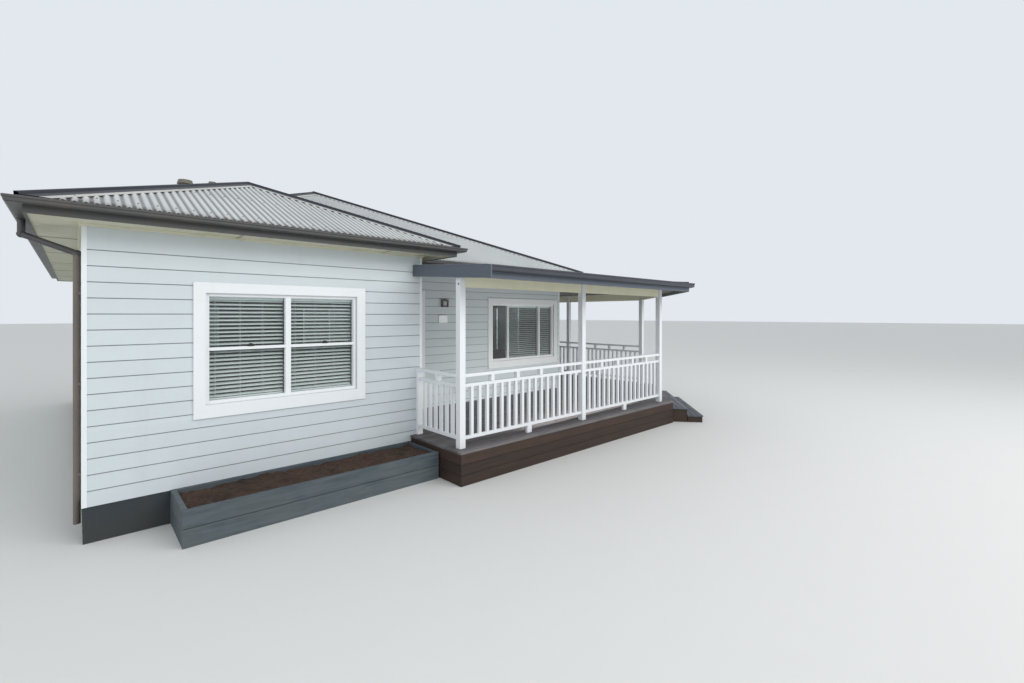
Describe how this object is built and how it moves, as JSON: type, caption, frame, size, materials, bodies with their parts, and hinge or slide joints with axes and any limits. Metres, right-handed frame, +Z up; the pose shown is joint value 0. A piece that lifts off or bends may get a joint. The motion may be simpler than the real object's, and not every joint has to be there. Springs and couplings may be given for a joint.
{
  "type": "beach house",
  "caption": "Single storey weatherboard beach house with a front wing, hipped corrugated metal roofs and a corner verandah.",
  "frame": {"origin": "on the ground, in the middle of the whole plan with gutters and verandah", "axes": "+X to the right along the front, +Y to the back of the house, +Z up"},
  "size_m": [11.595, 12.512, 5.2169],
  "materials": {
    "base_paint": "matt dark painted base boards",
    "floor_wood": "satin floor boards",
    "cladding": "satin pale blue-grey paint on horizontal boards",
    "white_trim": "satin white paint",
    "window_frame": "gloss white powder coat",
    "glass": "clear",
    "door_paint": "satin white paint",
    "roof_metal": "pale grey corrugated sheet, weathered, a little rust at the eaves",
    "dark_metal": "satin charcoal",
    "soffit_board": "matt off-white lining board",
    "pipe_paint": "satin brown-grey",
    "porch_roof": "pale grey sheet over a white lining",
    "porch_fascia": "satin blue-grey paint",
    "porch_gutter": "satin charcoal",
    "beam_paint": "satin white paint",
    "deck_boards": "worn grey-brown boards",
    "deck_stain": "dark brown stain",
    "step_boards": "brown stain, worn on the treads",
    "planter_paint": "matt dark blue-green paint",
    "soil": "rough brown earth",
    "lamp_metal": "satin bronze",
    "plate_white": "satin white"
  },
  "bodies": {
    "root": {"base_wall": "base_paint", "floor_slab": "floor_wood", "wall_wing_front": "cladding", "wall_left": "cladding", "wall_recess": "cladding", "wall_right": "cladding", "wall_back": "cladding", "corner_boards": "white_trim", "wing_window_surround": "white_trim", "wing_window_frame": "window_frame", "verandah_window_surround": "white_trim", "verandah_window_frame": "window_frame", "other_window_surrounds": "white_trim", "other_window_frames": "window_frame", "window_glass": "glass", "front_door": "door_paint", "door_frame": "white_trim", "roof_left": "roof_metal", "roof_wing_front": "roof_metal", "roof_wing_right": "roof_metal", "roof_main_front": "roof_metal", "roof_main_right": "roof_metal", "roof_main_back": "roof_metal", "fascia": "dark_metal", "soffit": "soffit_board", "gutter": "dark_metal", "downpipes": "pipe_paint", "roof_vents": "dark_metal", "verandah_roof": "porch_roof", "verandah_fascia": "porch_fascia", "verandah_gutter": "porch_gutter", "verandah_beams": "beam_paint", "verandah_posts": "white_trim", "balustrade_left": "white_trim", "balustrade_front_left": "white_trim", "balustrade_front_right": "white_trim", "balustrade_side": "white_trim", "deck_floor": "deck_boards", "deck_skirt": "deck_stain", "steps": "step_boards", "planter_box": "planter_paint", "planter_soil": "soil", "wall_light": "lamp_metal", "number_plate": "plate_white"}
  },
  "joints": []
}
